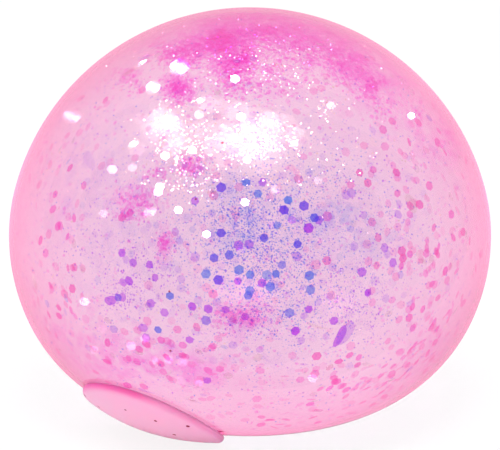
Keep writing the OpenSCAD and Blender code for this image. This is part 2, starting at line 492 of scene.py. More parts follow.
def clear_liquid():
    """Clear liquid, faintly lavender from the finest glitter in it: shows only how deep it is."""
    material, tree, place = new_material("clear_lavender_liquid")
    _, colour = clouded(tree, place, linear("#FFFFFF"), linear("#FAF2FB"), wide_mm=20, detail=2)
    shader = add(tree, "ShaderNodeBsdfPrincipled", inputs={
        "Base Color": colour, "Roughness": 0, "IOR": 1.001, "Transmission Weight": 1})
    volume = add(tree, "ShaderNodeVolumeAbsorption", inputs={
        "Color": rgba(colours().liquid_tint), "Density": LIQUID_DENSITY})
    add(tree, "ShaderNodeOutputMaterial", inputs={
        "Surface": shader.outputs[0], "Volume": volume.outputs[0]})
    return material


def glitter_haze():
    """Pearly glitter, ground to dust and hanging in the liquid: dims what is behind it, with no edge."""
    material, tree, place = new_material("pearly_dust_in_liquid")
    _, colour = clouded(tree, place, linear("#FFFFFF"), linear("#F8F6FA"), wide_mm=12, detail=3)
    shader = add(tree, "ShaderNodeBsdfPrincipled", inputs={
        "Base Color": colour, "Roughness": 0, "IOR": 1, "Transmission Weight": 1})
    volume = add(tree, "ShaderNodeVolumeAbsorption", inputs={
        "Color": rgba(colours().haze_tint), "Density": HAZE_DENSITY})
    add(tree, "ShaderNodeOutputMaterial", inputs={
        "Surface": shader.outputs[0], "Volume": volume.outputs[0]})
    return material


def patch_rubber():
    """Pink rubber with a pigment, cut from sheet: smooth, less clear than the skin, deeper at its edge,
    where painted light makes it paler at its foot and on one side.
    """
    material, tree, place = new_material("pink_rubber_sheet")
    # The attribute edge gives the deeper colour at the edge, and painted light that makes it paler at its
    # foot and on the patch's right-hand side
    edge = add(tree, "ShaderNodeAttribute", {"attribute_name": "edge"}).outputs["Fac"]
    cloud, pigment = clouded(tree, place, colours().patch_face, linear("#FFBCDA"), wide_mm=5, detail=4)
    colour = add(tree, "ShaderNodeMix", {"data_type": "RGBA"}, {
        "Factor": edge, MIX_A: pigment, MIX_B: rgba(colours().patch_edge)})
    dusty = dust(tree, place, colour.outputs[MIX_OUT], apart_mm=3, rarity=0.72, grain_mm=0.8)
    bump = add(tree, "ShaderNodeBump", inputs={"Height": cloud, "Strength": 0.15, "Distance": 0.1 * MM})
    shader = add(tree, "ShaderNodeBsdfPrincipled", inputs={
        "Base Color": dusty, "Roughness": 0.5, "IOR": 1.03, "Transmission Weight": 0.3,
        "Coat Weight": 0.15, "Coat Roughness": 0.3, "Coat IOR": 1.4,
        "Subsurface Weight": 1, "Subsurface Radius": (1, 0.5, 0.6), "Subsurface Scale": 3 * MM,
        "Normal": bump.outputs[0]})
    add(tree, "ShaderNodeOutputMaterial", inputs={"Surface": shader.outputs[0]})
    return material


def cement_film():
    """Rubber cement, dried: a clear, slightly lumpy film, paler than the rubber."""
    material, tree, place = new_material("dried_rubber_cement")
    lumps, colour = clouded(tree, place, colours().cement, linear("#FFE4EE"), wide_mm=1.5, detail=2)
    bump = add(tree, "ShaderNodeBump", inputs={"Height": lumps, "Strength": 0.3, "Distance": 0.2 * MM})
    shader = add(tree, "ShaderNodeBsdfPrincipled", inputs={
        "Base Color": colour, "Roughness": 0.2, "IOR": 1, "Transmission Weight": 1,
        "Normal": bump.outputs[0]})
    add(tree, "ShaderNodeOutputMaterial", inputs={"Surface": shader.outputs[0]})
    return material


def plug_rubber():
    """Clear pink rubber, moulded in one solid: satin, with faint flow marks."""
    material, tree, place = new_material("solid_pink_rubber")
    _, colour = clouded(tree, place, colours().plug, linear("#FFD2E2"), wide_mm=2, detail=3)
    shader = add(tree, "ShaderNodeBsdfPrincipled", inputs={
        "Base Color": colour, "Roughness": 0.4, "IOR": 1, "Transmission Weight": 1})
    add(tree, "ShaderNodeOutputMaterial", inputs={"Surface": shader.outputs[0]})
    return material


def film(name, dark, light, mirror=None, glint=0.4):
    """Tinted polyester film, cut: light that comes through it takes its colour, and its faces glint.

    The attribute shade runs from the dark colour to the light one, and cover from no tint to the full tint.
    A mirror film, given by its roughness, is coated with metal and sends the light back instead.
    """
    material, tree, place = new_material(name)
    shade = add(tree, "ShaderNodeAttribute", {"attribute_name": "shade"}).outputs["Fac"]
    cover = add(tree, "ShaderNodeAttribute", {"attribute_name": "cover"}).outputs["Fac"]
    tint = add(tree, "ShaderNodeMix", {"data_type": "RGBA"}, {
        "Factor": shade, MIX_A: rgba(dark), MIX_B: rgba(light)})
    # Small creases in the film, about 0.8 mm apart
    crease = add(tree, "ShaderNodeTexNoise", inputs={"Vector": place, "Scale": 1 / (0.8 * MM), "Detail": 1})
    bump = add(tree, "ShaderNodeBump", inputs={
        "Height": crease.outputs["Fac"], "Strength": 0.1, "Distance": 0.1 * MM})
    if mirror:
        inputs = {
            "Base Color": tint.outputs[MIX_OUT], "Metallic": 1, "Roughness": mirror, "Alpha": cover,
            "Normal": bump.outputs[0]}
    else:
        colour = add(tree, "ShaderNodeMix", {"data_type": "RGBA"}, {
            "Factor": cover, MIX_A: rgba(linear("#FFFFFF")), MIX_B: tint.outputs[MIX_OUT]})
        inputs = {
            "Base Color": colour.outputs[MIX_OUT], "Roughness": 0, "IOR": 1, "Transmission Weight": 1,
            "Coat Weight": glint, "Coat Roughness": 0.15, "Coat IOR": 1.6, "Coat Normal": bump.outputs[0]}
    shader = add(tree, "ShaderNodeBsdfPrincipled", inputs=inputs)
    add(tree, "ShaderNodeOutputMaterial", inputs={"Surface": shader.outputs[0]})
    return material


def white_paper():
    """Matt white paper with a faint fibre: plain white to the eye, and keeps a soft shadow."""
    material, tree, place = new_material("matt_white_paper")
    # The paper's white is only for the eye, so it isn't counted among the lamps
    material.cycles.emission_sampling = "NONE"
    # Fibre drawn at 3 mm so that it shows
    _, colour = clouded(tree, place, linear("#F6F6F6"), linear("#F8F8F8"), wide_mm=3, detail=2)
    matt = add(tree, "ShaderNodeBsdfPrincipled", inputs={
        "Base Color": colour, "Roughness": 0.9, "Specular IOR Level": 0})
    white = add(tree, "ShaderNodeEmission", inputs={"Color": rgba(linear("#FFFFFF")), "Strength": 1})
    # All white in a gloss or through a clear piece, mostly white straight, and paper to light on its way
    path = add(tree, "ShaderNodeLightPath")
    straight = add(tree, "ShaderNodeMath", {"operation": "MULTIPLY"}, {
        0: path.outputs["Is Camera Ray"], 1: PAPER_WHITE})
    mirrored = add(tree, "ShaderNodeMath", {"operation": "MAXIMUM"}, {
        0: straight.outputs[0], 1: path.outputs["Is Glossy Ray"]})
    seen = add(tree, "ShaderNodeMath", {"operation": "MAXIMUM"}, {
        0: mirrored.outputs[0], 1: path.outputs["Is Transmission Ray"]})
    paper = add(tree, "ShaderNodeMixShader", inputs={
        0: seen.outputs[0], 1: matt.outputs[0], 2: white.outputs[0]})
    add(tree, "ShaderNodeOutputMaterial", inputs={"Surface": paper.outputs[0]})
    return material


# Glitter

# Sides of a dot or speck, and the height from which a direction counts as upright
SIDES = 6
UPRIGHT = 0.9


def six_corners(normals, spin, reach):
    """Corners of six-sided outlines: reach times (cos t, sin t) in the plane across each normal, spun.

    The plane's first direction lies across the normal and the upright axis, or another for upright normals.
    """
    helper = np.where(np.abs(normals[:, 2:]) < UPRIGHT, [[0.0, 0.0, 1.0]], [[1.0, 0.0, 0.0]])
    u = unit(np.cross(helper, normals))
    v = np.cross(normals, u)
    c, s = np.cos(spin)[:, None], np.sin(spin)[:, None]
    u, v = c * u + s * v, c * v - s * u
    t = full_turn(SIDES)[None, :, None]
    return reach[:, None, None] * (np.cos(t) * u[:, None] + np.sin(t) * v[:, None])


def dots(places, normals, spin, flats, thick):
    """Six-sided dots: two rings of corners, half the thickness above and below the middle, closed."""
    ring = six_corners(normals, spin, flats / np.sqrt(3))
    lift = thick / 2 * normals[:, None]
    points = places[:, None] + np.concatenate([ring - lift, ring + lift], axis=1)
    step = np.arange(SIDES)
    following = (step + 1) % SIDES
    walls = np.stack([step, following, following + SIDES, step + SIDES], axis=-1)
    caps = np.stack([step[::-1], step + SIDES])
    base = 2 * SIDES * np.arange(len(places))[:, None, None]
    return points, [(base + walls).reshape(-1, 4), (base + caps).reshape(-1, SIDES)]


def specks(places, normals, spin, width, thick):
    """Fine specks: a flat six-sided double pyramid, one ring of corners and a tip above and below it."""
    ring = six_corners(normals, spin, width / 2)
    lift = thick / 2 * normals[:, None]
    points = places[:, None] + np.concatenate([ring, -lift, lift], axis=1)
    step = np.arange(SIDES)
    following = (step + 1) % SIDES
    lower = np.stack([following, step, np.full(SIDES, SIDES)], axis=-1)
    upper = np.stack([step, following, np.full(SIDES, SIDES + 1)], axis=-1)
    base = (SIDES + 2) * np.arange(len(places))[:, None, None]
    return points, [(base + np.concatenate([lower, upper])).reshape(-1, 3)]


def any_way(rng, n):
    """Directions spread evenly over a sphere: normal draws, set to length 1."""
    return unit(rng.normal(size=(n, 3)))


def tilted(rng, normals, tilt):
    """Directions turned a little by normal draws."""
    return unit(normals + tilt * rng.normal(size=normals.shape))


def clump_pixels(rng, clumps):
    """Pixels strewn about the middle of each clump (x, y, spread x, spread y, number) by normal draws."""
    return np.concatenate([np.empty((0, 2))] + [
        np.array([x, y]) + rng.normal(size=(n, 2)) * np.array([spread_x, spread_y])
        for x, y, spread_x, spread_y, n in clumps])


def glitter_inset():
    """How far inside the ball's outline the outermost glitter lies."""
    return sizes().skin_t + sizes().liquid_gap + cut_sizes().clear_layer


# How deep a cloud lies at most under the outermost glitter
CLOUD_DEPTH = 1 * MM


def near_and_round(rng, near_px, far_px, loose, depth, tilt, shallow=0):
    """Glitter at pixels on the near and the far wall, and loose glitter all round, up to a depth inside.

    The pieces lie along the wall with some tilt. The first, as many as shallow says, lie close under it.
    """
    ways = []
    for px, side in ((near_px, 1), (far_px, -1)):
        if len(px):
            ways.append(way_to_pixel(np.asarray(px, float), side, glitter_inset()))
    ways.append(any_way(rng, loose))
    ways = np.concatenate(ways)
    deepest = np.where(np.arange(len(ways)) < shallow, CLOUD_DEPTH, depth)
    inside = deepest * rng.random(len(ways)) ** 2
    places, out = wall_point(ways, glitter_inset())
    return places - out * inside[:, None], tilted(rng, out, tilt)


# Where the photograph shows single dots on the near wall, in pixels
BLUE_DOTS = [
    (258, 192), (289, 198), (280, 222), (318, 215), (229, 254), (206, 273), (239, 269), (250, 278),
    (250, 291), (248, 298), (282, 264), (267, 274), (272, 290), (313, 291), (310, 275), (290, 313),
    (158, 329), (276, 273), (170, 295), (246, 176)]
INDIGO_DOTS = [
    (265, 236), (300, 243), (216, 282), (221, 232), (214, 257), (203, 326), (284, 209), (310, 200),
    (118, 297), (220, 184)]
VIOLET_DOTS = [
    (264, 173), (292, 219), (323, 217), (309, 227), (262, 282), (245, 316), (224, 314), (204, 316),
    (188, 311), (189, 340), (162, 314), (146, 337), (141, 329), (150, 303), (122, 252), (132, 262),
    (139, 266), (152, 278), (122, 282), (129, 280), (110, 303), (393, 262), (362, 271), (368, 292),
    (237, 283), (315, 317), (334, 320), (238, 244), (249, 243), (206, 385), (195, 200), (298, 336)]
LILAC_DOTS = [
    (348, 193), (362, 186), (417, 198), (405, 212), (364, 214), (163, 267), (172, 230), (190, 257),
    (180, 279), (180, 288), (196, 302), (214, 307), (196, 331), (299, 256), (336, 267), (388, 247),
    (356, 245), (364, 246), (398, 254), (386, 298), (375, 280), (411, 303), (331, 297), (304, 315),
    (327, 337), (304, 346), (232, 352), (230, 328), (116, 260), (260, 350)]
PINK_DOTS = [
    (333, 213), (373, 221), (398, 226), (302, 173), (304, 155), (383, 129), (368, 166), (376, 167),
    (360, 178), (368, 182), (399, 192), (409, 252), (403, 278), (411, 271), (383, 308), (401, 304),
    (328, 260), (374, 243), (370, 261), (401, 320), (424, 304), (341, 302), (320, 265), (175, 332),
    (206, 287), (213, 293), (145, 286), (197, 268), (171, 343), (212, 192), (239, 186), (130, 212),
    (116, 215), (285, 92), (302, 94), (348, 82), (318, 358), (316, 368), (234, 377), (218, 379),
    (207, 373), (346, 373), (361, 371), (372, 383), (407, 357), (260, 365), (297, 370), (125, 149),
    (80, 97), (103, 97), (142, 89)]
PEARL_DOTS = [
    (245, 201), (206, 233), (241, 116), (247, 154), (165, 155), (191, 147), (147, 184), (158, 185),
    (178, 209), (414, 113), (235, 77)]
CREAM_DOTS = [
    (106, 165), (130, 165), (95, 211), (134, 351), (157, 359), (148, 372), (159, 376), (180, 382),
    (179, 370), (66, 309), (81, 304), (100, 330), (117, 361), (91, 352), (198, 385), (316, 387),
    (331, 395), (331, 105), (294, 143), (276, 186), (198, 111)]

# Clumps of dots, specks and clouds: pixel of the middle, spread across and up, and number of pieces
PINK_CLUMPS = [
    (455, 280, 12, 50, 45), (432, 345, 22, 26, 36), (365, 395, 40, 13, 46), (300, 418, 60, 8, 30),
    (412, 240, 22, 40, 22), (55, 225, 9, 40, 20), (52, 315, 12, 25, 16), (130, 360, 40, 14, 36),
    (420, 160, 24, 24, 16)]
BLUE_CLUMPS = [
    (262, 240, 40, 48, 2300), (245, 215, 22, 22, 500), (290, 300, 30, 30, 400), (365, 262, 30, 60, 260),
    (320, 180, 40, 30, 160)]
BLUE_CLOUDS = [
    (245, 222, 16, 14, 30), (352, 222, 30, 18, 45), (300, 235, 30, 22, 18), (255, 270, 40, 35, 16),
    (240, 190, 30, 14, 16)]
VIOLET_CLUMPS = [
    (265, 322, 45, 18, 400), (130, 285, 24, 22, 260), (363, 312, 18, 14, 230), (112, 302, 9, 8, 160),
    (250, 235, 60, 60, 320), (385, 250, 40, 60, 600), (95, 250, 35, 50, 300)]
VIOLET_CLOUDS = [
    (262, 345, 18, 14, 10), (200, 228, 24, 16, 35), (330, 240, 30, 22, 40), (95, 180, 30, 46, 150),
    (120, 250, 30, 30, 50), (380, 190, 34, 46, 55)]
MAGENTA_CLUMPS = [
    (222, 34, 10, 6, 420), (240, 50, 11, 9, 520), (228, 62, 9, 6, 330), (264, 29, 12, 4, 300),
    (205, 41, 12, 5, 300), (188, 50, 8, 4, 220), (170, 51, 9, 4, 220), (292, 34, 13, 5, 320),
    (314, 43, 14, 6, 340), (336, 46, 10, 6, 280), (349, 66, 9, 6, 240), (373, 81, 7, 4, 160),
    (312, 54, 4, 3, 70), (352, 56, 14, 6, 200), (390, 105, 9, 6, 130), (420, 112, 8, 6, 110),
    (452, 137, 7, 9, 130), (178, 83, 9, 7, 420), (190, 164, 7, 5, 125), (155, 172, 6, 3, 60),
    (132, 196, 11, 8, 135), (143, 199, 8, 6, 45), (126, 75, 8, 5, 130), (230, 75, 14, 9, 220),
    (250, 78, 18, 10, 220), (162, 242, 4, 7, 100), (240, 318, 16, 8, 160), (270, 60, 22, 14, 260),
    (300, 75, 30, 12, 200), (125, 213, 9, 6, 80), (221, 34, 6, 3, 220), (267, 28, 7, 2, 140),
    (170, 50, 7, 4, 120), (376, 82, 6, 3, 120), (243, 52, 5, 4, 140)]
MAGENTA_CLOUDS = [
    (222, 34, 12, 7, 200), (240, 50, 14, 10, 80), (228, 62, 10, 7, 50), (264, 29, 20, 5, 130),
    (195, 45, 22, 6, 90), (300, 36, 24, 7, 100), (335, 46, 18, 8, 90), (352, 62, 14, 8, 90),
    (375, 82, 10, 6, 50), (178, 83, 9, 7, 80), (190, 164, 7, 6, 14), (132, 196, 13, 9, 30),
    (140, 202, 9, 8, 10), (162, 242, 4, 8, 14), (242, 318, 16, 10, 60), (126, 75, 9, 5, 24),
    (135, 360, 40, 14, 110), (200, 370, 16, 8, 60), (95, 345, 18, 16, 50), (452, 140, 8, 14, 24),
    (260, 75, 40, 12, 50), (250, 15, 50, 4, 160), (320, 30, 40, 6, 100), (385, 80, 25, 18, 70),
    (425, 130, 16, 20, 40)]
PEARL_CLUMPS = [
    (262, 132, 18, 11, 420), (245, 142, 10, 9, 160), (165, 118, 9, 9, 120), (178, 146, 20, 16, 300),
    (196, 130, 18, 14, 120), (240, 62, 40, 22, 150), (330, 105, 4, 3, 30), (260, 170, 40, 10, 70),
    (340, 140, 50, 45, 60), (300, 60, 40, 20, 50), (190, 185, 16, 8, 60), (255, 36, 60, 12, 90)]
PEARL_CLOUDS = [(255, 132, 24, 11, 60), (165, 117, 10, 8, 26), (190, 140, 20, 12, 24)]

# Clumps on the far wall
BLUE_FAR = [(250, 240, 60, 55, 22)]
INDIGO_FAR = [(250, 240, 65, 60, 14)]
VIOLET_FAR = [(250, 250, 85, 75, 40)]
BLUE_SPECKS_FAR = [(250, 240, 60, 60, 900)]
VIOLET_SPECKS_FAR = [(250, 250, 80, 70, 300)]
MAGENTA_SPECKS_FAR = MAGENTA_CLUMPS[3:7]

# Smears of the finest magenta glitter on the inside of the skin: middle and spread in pixels, and thickness
SMEARS = [
    (222, 30, 30, 14, 0.42), (268, 22, 34, 10, 0.34), (322, 32, 40, 12, 0.38), (250, 10, 90, 8, 0.38),
    (180, 46, 28, 10, 0.4), (352, 60, 22, 16, 0.4), (390, 90, 20, 22, 0.3), (440, 140, 16, 26, 0.2),
    (130, 362, 42, 16, 0.3), (200, 372, 24, 10, 0.2), (62, 215, 10, 16, 0.2), (60, 330, 14, 20, 0.2),
    (430, 350, 20, 26, 0.15), (340, 400, 60, 12, 0.05)]
# How thick they lie all round the ball
THIN_SMEAR = 0.03
# Smears fade out behind the outline, between these places towards the camera
SMEAR_FADE = (-20 * MM, 0)

# Larger offcuts: pixel, turn in degrees, length and width as shares, shade (0 dark to 1 light), cover
VIOLET_OFFCUTS = [
    (340, 336, 62, 1.05, 0.85, 0.25, 0.9), (346, 333, 58, 1.2, 1.2, 0.75, 0.6),
    (110, 300, 30, 0.9, 0.9, 0.2, 0.8)]
FLASHING_OFFCUTS = [
    (180, 66, 40, 1.0, 1.6, 1, 1), (153, 87, 55, 0.75, 1.2, 1, 1), (134, 143, 45, 0.65, 0.55, 1, 1),
    (200, 100, 30, 0.5, 0.5, 1, 1), (72, 115, 50, 1.0, 1.6, 0, 0.12), (150, 211, 70, 0.85, 1.0, 0, 0.1)]
PEARL_OFFCUTS = [(123, 50, 35, 1.3, 0.4, 1, 1), (33, 282, 105, 0.8, 0.35, 0.6, 1)]

# Softboxes: the pixel where the skin mirrors each, its width and height in metres, and its watts
SOFTBOX_PX = (255, 134)
SMALL_SOFTBOX_PX = (168, 121)
SOFTBOXES = [("softbox", SOFTBOX_PX, 0.3, 0.2, 3.0), ("small_softbox", SMALL_SOFTBOX_PX, 0.14, 0.16, 0.9)]
# How far the lamps stand from the ball's middle, in metres
LAMP_FAR = 0.8
# Where the skin mirrors the plain white behind the camera
WHITE_PX = (RING_X_PX, RING_Y_PX)
# Half of the ball's width in the picture
HALF_W_PX = 240


def lamp_place(px, py):
    """Where a lamp stands that the skin mirrors at a pixel: along 2 (n.v) n - v, n the skin's direction."""
    across, upwards = (px - RING_X_PX) / HALF_W_PX, (RING_Y_PX - py) / HALF_W_PX
    out = across * TO_RIGHT + upwards * TO_TOP + np.sqrt(1 - across ** 2 - upwards ** 2) * TO_CAMERA
    return ball_middle() + LAMP_FAR * (2 * (out @ TO_CAMERA) * out - TO_CAMERA)


def flash(rng, places, normals, chosen, jitter, px=SOFTBOX_PX):
    """Turns chosen pieces halfway between the camera and what the skin mirrors at a pixel, with jitter."""
    turned = unit(lamp_place(*px) - places) + TO_CAMERA + jitter * rng.normal(size=places.shape)
    return np.where(chosen[:, None], unit(turned), normals)


# Dots: how deep they lie and how much they tilt, jitter of those that flash, and least size and spread
DOT_DEPTH = 5 * MM
DOT_TILT = 0.14
DOT_JITTER = 0.06
DOT_LEAST, DOT_MORE = 0.8, 0.25
# How much a dot hides that hangs free or lies on the far wall
FAR_COVER = (0.1, 0.35)
# Dots deep in the liquid: how far out from the ball's middle, how flat, how high, how much they hide
CORE_REACH = 0.75
CORE_FLAT = np.array([1, 1, 0.85])
CORE_LIFT = np.array([0, 0, 2 * MM])
CORE_COVER = (0.05, 0.25)
# How far a dark dot's shade goes towards the light colour, and how much the dot hides
DARK_SHADE = 0.4
DARK_COVER = (0.65, 1)

# Specks: how much they tilt, jitter of those that flash, and least size and spread of specks and of clouds
SPECK_TILT = 0.3
SPECK_JITTER = 0.12
SPECK_LEAST, SPECK_MORE = 0.6, 0.9
CLOUD_LEAST, CLOUD_MORE = 0.6, 0.8
# How much a patch hides that stands for a cloud of the finest glitter
CLOUD_COVER = (0.03, 0.1)
PEARL_CLOUD_COVER = (0.005, 0.025)


def strewn_piece(name, node, made, material, shade, cover):
    """Glitter of one node as one mesh, with each piece's shade and cover on all its points."""
    points, faces = made
    obj = new_piece(name, points.reshape(-1, 3), faces, material, smooth=False, shade={
        "shade": np.repeat(shade, points.shape[1]), "cover": np.repeat(cover, points.shape[1])})
    put_in_place(obj, "glitter", node)


def sequin_piece(node, near_px, material, seed, loose, cover, far_px=(), core=0, dark=0,
                 flashing=False, name=None):
    """The dots of one colour: where the photograph shows them, some on the far wall, the rest all round.

    The first, as many as dark says, take the dark colour. Flashing ones on the near wall mirror a softbox.
    """
    rng = np.random.default_rng(seed)
    c = cut_sizes()
    places, normals = near_and_round(rng, near_px, far_px, loose, DOT_DEPTH, DOT_TILT)
    if core:
        # Faint dots deep in the liquid, strewn evenly through a ball about the middle
        reach = CORE_REACH * sizes().ball_w / 2 * rng.random(core) ** (1 / 3)
        deep = any_way(rng, core) * reach[:, None] * CORE_FLAT
        places = np.concatenate([places, deep + ball_middle() + CORE_LIFT])
        normals = np.concatenate([normals, any_way(rng, core)])
    n = len(places)
    near = np.arange(n) < len(near_px)
    if flashing:
        normals = flash(rng, places, normals, near, DOT_JITTER)
    spin = rng.random(n) * 2 * np.pi
    made = dots(places, normals, spin, c.sequin_w * (DOT_LEAST + DOT_MORE * rng.random(n)), c.film_t)
    low, high = np.where(near, cover[0], FAR_COVER[0]), np.where(near, cover[1], FAR_COVER[1])
    shade = rng.random(n)
    if dark:
        shade[:dark] *= DARK_SHADE
        shade[dark:] = 1 - DARK_SHADE * (1 - shade[dark:])
        low[:dark], high[:dark] = DARK_COVER
    if core:
        low[-core:], high[-core:] = CORE_COVER
        shade[-core:] = 1
    hides = low + (high - low) * rng.random(n)
    strewn_piece(name or node + "_film", node, made, material, shade, hides)


def speck_piece(node, clumps, clouds, material, seed, loose, cover, far_clumps=(), depth=8 * MM,
                flashing=0, size=1, cloud_cover=CLOUD_COVER):
    """The fine glitter of one colour: clumps where the photograph shows them, some opposite, some loose.

    The finest of it is too fine to draw piece by piece, so faint flat patches stand for clouds of it.
    Flashing is the share of the near pieces that mirror a softbox.
    """
    rng = np.random.default_rng(seed)
    c = cut_sizes()
    cloud_px = clump_pixels(rng, clouds)
    near_px = np.concatenate([cloud_px, clump_pixels(rng, clumps)])
    far_px = clump_pixels(rng, far_clumps)
    places, normals = near_and_round(rng, near_px, far_px, loose, depth, SPECK_TILT, len(cloud_px))
    n = len(places)
    index = np.arange(n)
    faint = index < len(cloud_px)
    chosen = (index < len(near_px)) & (rng.random(n) < flashing)
    normals = flash(rng, places, normals, chosen, SPECK_JITTER)
    cloud_w = c.cloud_w * (CLOUD_LEAST + CLOUD_MORE * rng.random(n))
    speck_w = size * c.speck_w * (SPECK_LEAST + SPECK_MORE * rng.random(n) ** 2)
    cut = dots if flashing else specks
    made = cut(places, normals, rng.random(n) * 2 * np.pi, np.where(faint, cloud_w, speck_w), c.film_t)
    low, high = np.where(faint, cloud_cover[0], cover[0]), np.where(faint, cloud_cover[1], cover[1])
    shade = np.where(faint, 1, rng.random(n))
    hides = low + (high - low) * rng.random(n)
    strewn_piece(node + "_film", node, made, material, shade, hides)


# The haze lies in layers, each inside the one before: name and share of the whole size; its rings and steps
HAZE_LAYERS = [("thin_haze", 1), ("middle_haze", 0.84), ("thick_haze", 0.62)]
HAZE_RINGS = 40
HAZE_STEPS = 96
# Lumps round a layer: how high as a share, how many, and the angle where they start
HAZE_LUMPS = [(0.04, 3, 1), (0.03, 5, 0)]


def haze_pieces():
    """The finest pearly glitter, as clouds in one another: flat round forms with shallow lumps.

    Ring a (from -90 to 90 degrees) and turn t: (w cos a cos t, w cos a sin t, h sin a) about the ball's
    middle, where w grows and shrinks with sin 3t and sin 5t.
    """
    c = cut_sizes()
    material = glitter_haze()
    a = np.linspace(-np.pi / 2, np.pi / 2, HAZE_RINGS)
    t = full_turn(HAZE_STEPS)
    lumps = np.ones(HAZE_STEPS)
    for height, count, start in HAZE_LUMPS:
        lumps += height * np.sin(count * t + start)
    for name, share in HAZE_LAYERS:
        half_w, half_h = share * c.haze_w / 2, share * c.haze_h / 2
        rings = lathe(half_w * np.cos(a), ring_height() + half_h * np.sin(a), HAZE_STEPS)
        rings[..., :2] *= lumps[:, None]
        points, faces = round_form(rings)
        put_in_place(new_piece(name, points, faces, material), "glitter", "pearl_specks")


# Offcuts: how deep they hang under the outermost glitter, how much they tilt, jitter of those that mirror
# the softbox, and of those that mirror plain white
OFFCUT_DEPTH = 2.5 * MM
OFFCUT_TILT = 0.12
OFFCUT_JITTER = 0.04
WHITE_JITTER = 0.1
# How much of the cover is left on the far side
FAR_SHARE = 0.4
# An offcut's grid: points along and across, how much narrower its ends are, its curl and its twist
LEAF_LONG, LEAF_WIDE = 9, 5
LEAF_TAPER = 0.75
LEAF_CURL = 0.12
LEAF_TWIST = 0.5


def offcut_piece(name, offcuts, material, seed, flashing=0, white=0):
    """Offcuts of film: lightly curled sheets, where the photograph shows them and again, fainter, opposite.

    A sheet is a grid of points: a leaf with blunt ends, whose width falls with the fourth power of the way
    along, curled by the square of the way along and twisted by the way along times the way across. The
    first sheets mirror a softbox, the next plain white.
    """
    rng = np.random.default_rng(seed)
    c = cut_sizes()
    inset = glitter_inset() + OFFCUT_DEPTH
    table = np.array(offcuts)
    near = way_to_pixel(table[:, :2], 1, inset)
    loose = any_way(rng, len(table))
    loose *= -np.sign(loose @ TO_CAMERA)[:, None]
    _, _, turn, long_share, wide_share, shade, cover = np.tile(table, (2, 1)).T
    cover[len(table):] *= FAR_SHARE
    places, out = wall_point(np.concatenate([near, loose]), inset)
    normals = tilted(rng, out, OFFCUT_TILT)
    index = np.arange(len(places))
    normals = flash(rng, places, normals, index < flashing, OFFCUT_JITTER)
    whitened = (index >= flashing) & (index < flashing + white)
    normals = flash(rng, places, normals, whitened, WHITE_JITTER, WHITE_PX)
    # The turn is counted in the picture, from its right-hand side
    u = unit(TO_RIGHT - normals * (normals @ TO_RIGHT)[:, None])
    v = np.cross(normals, u)
    turn = np.radians(turn)[:, None]
    long_way, wide_way = np.cos(turn) * u + np.sin(turn) * v, np.cos(turn) * v - np.sin(turn) * u
    half_l = (c.flake_l / 2 * long_share)[:, None]
    half_w = (c.flake_w / 2 * wide_share)[:, None]
    along, across = np.meshgrid(np.linspace(-1, 1, LEAF_LONG), np.linspace(-1, 1, LEAF_WIDE), indexing="ij")
    along, across = along.ravel(), across.ravel() * (1 - LEAF_TAPER * along.ravel() ** 4)
    curl = LEAF_CURL * (along ** 2 + LEAF_TWIST * along * across)
    sheet = (places[:, None] + (half_l * along)[..., None] * long_way[:, None]
             + (half_w * across)[..., None] * wide_way[:, None]
             - (half_l * curl)[..., None] * normals[:, None])
    lift = c.film_t / 2 * normals[:, None]
    points = np.concatenate([sheet - lift, sheet + lift], axis=1)
    # Two copies of the grid, one above the other, and a wall round their rims
    one_side = LEAF_LONG * LEAF_WIDE
    grid = np.arange(one_side).reshape(LEAF_LONG, LEAF_WIDE)
    rim = np.concatenate([grid[0, :-1], grid[:-1, -1], grid[-1, :0:-1], grid[:0:-1, 0]])
    rim_on = np.roll(rim, -1)
    wall = np.stack([rim, rim_on, rim_on + one_side, rim + one_side], axis=-1)[:, ::-1]
    quads = grid_quads(LEAF_LONG, LEAF_WIDE)
    base = 2 * one_side * np.arange(len(places))[:, None, None]
    faces = [(base + f).reshape(-1, 4) for f in (quads + one_side, quads[:, ::-1], wall)]
    strewn_piece(name, "film_flakes", (points, faces), material, shade, cover)


# Operators

# The height at which the skin's gloss starts, over the wet flat, and over what height it comes up
GLOSS_START = 1 * MM
GLOSS_RISE = 9 * MM


class BALL_OT_skin(bpy.types.Operator):
    """The moulded skin: a closed, hollow wall."""

    bl_idname = "ball.skin"
    bl_label = "Skin"

    def execute(self, context):
        outer, outer_faces = ball_form(0)
        inner, inner_faces = ball_form(-sizes().skin_t, inside_out=True)
        points = np.concatenate([outer, inner])
        faces = outer_faces + [f + len(outer) for f in inner_faces]
        gloss = np.clip((outer[:, 2] - GLOSS_START) / GLOSS_RISE, 0, 1)
        shade = {"outside": np.concatenate([gloss, np.zeros(len(inner))]),
                 "clinging": np.concatenate([np.zeros(len(outer)), self.smears(inner)])}
        obj = new_piece("pink_skin", points, faces, skin_rubber(), shade=shade)
        put_in_place(obj, "shell", "skin")
        return {"FINISHED"}

    def smears(self, points):
        """How thick the smears lie: a sum of bells exp(-(u^2 + v^2) / 2), faded out on the far side."""
        x, y, depth = seen_at(points)
        thick = sum(cover * np.exp(-((x - middle_x) / wide) ** 2 / 2 - ((y - middle_y) / high) ** 2 / 2)
                    for middle_x, middle_y, wide, high, cover in SMEARS)
        start, end = SMEAR_FADE
        return THIN_SMEAR + thick * np.clip((depth - start) / (end - start), 0, 1)


class BALL_OT_liquid(bpy.types.Operator):
    """The liquid that fills the skin, just inside its wall."""

    bl_idname = "ball.liquid"
    bl_label = "Liquid"

    def execute(self, context):
        points, faces = ball_form(-sizes().skin_t - sizes().liquid_gap)
        obj = new_piece("clear_liquid", points, faces, clear_liquid())
        put_in_place(obj, "filling", "liquid")
        return {"FINISHED"}


# Points of the patch's section, under it, round its edge and over its face, and steps round it
UNDER_POINTS, EDGE_POINTS, FACE_POINTS = 16, 7, 25
PATCH_STEPS = 120
# How far the patch's underside stays back from its edge
UNDERCUT = 0.1 * MM
# The deeper colour at the patch's edge: its width and over what width it comes up
BAND_W = 1.6 * MM
BAND_RISE = 1.4 * MM
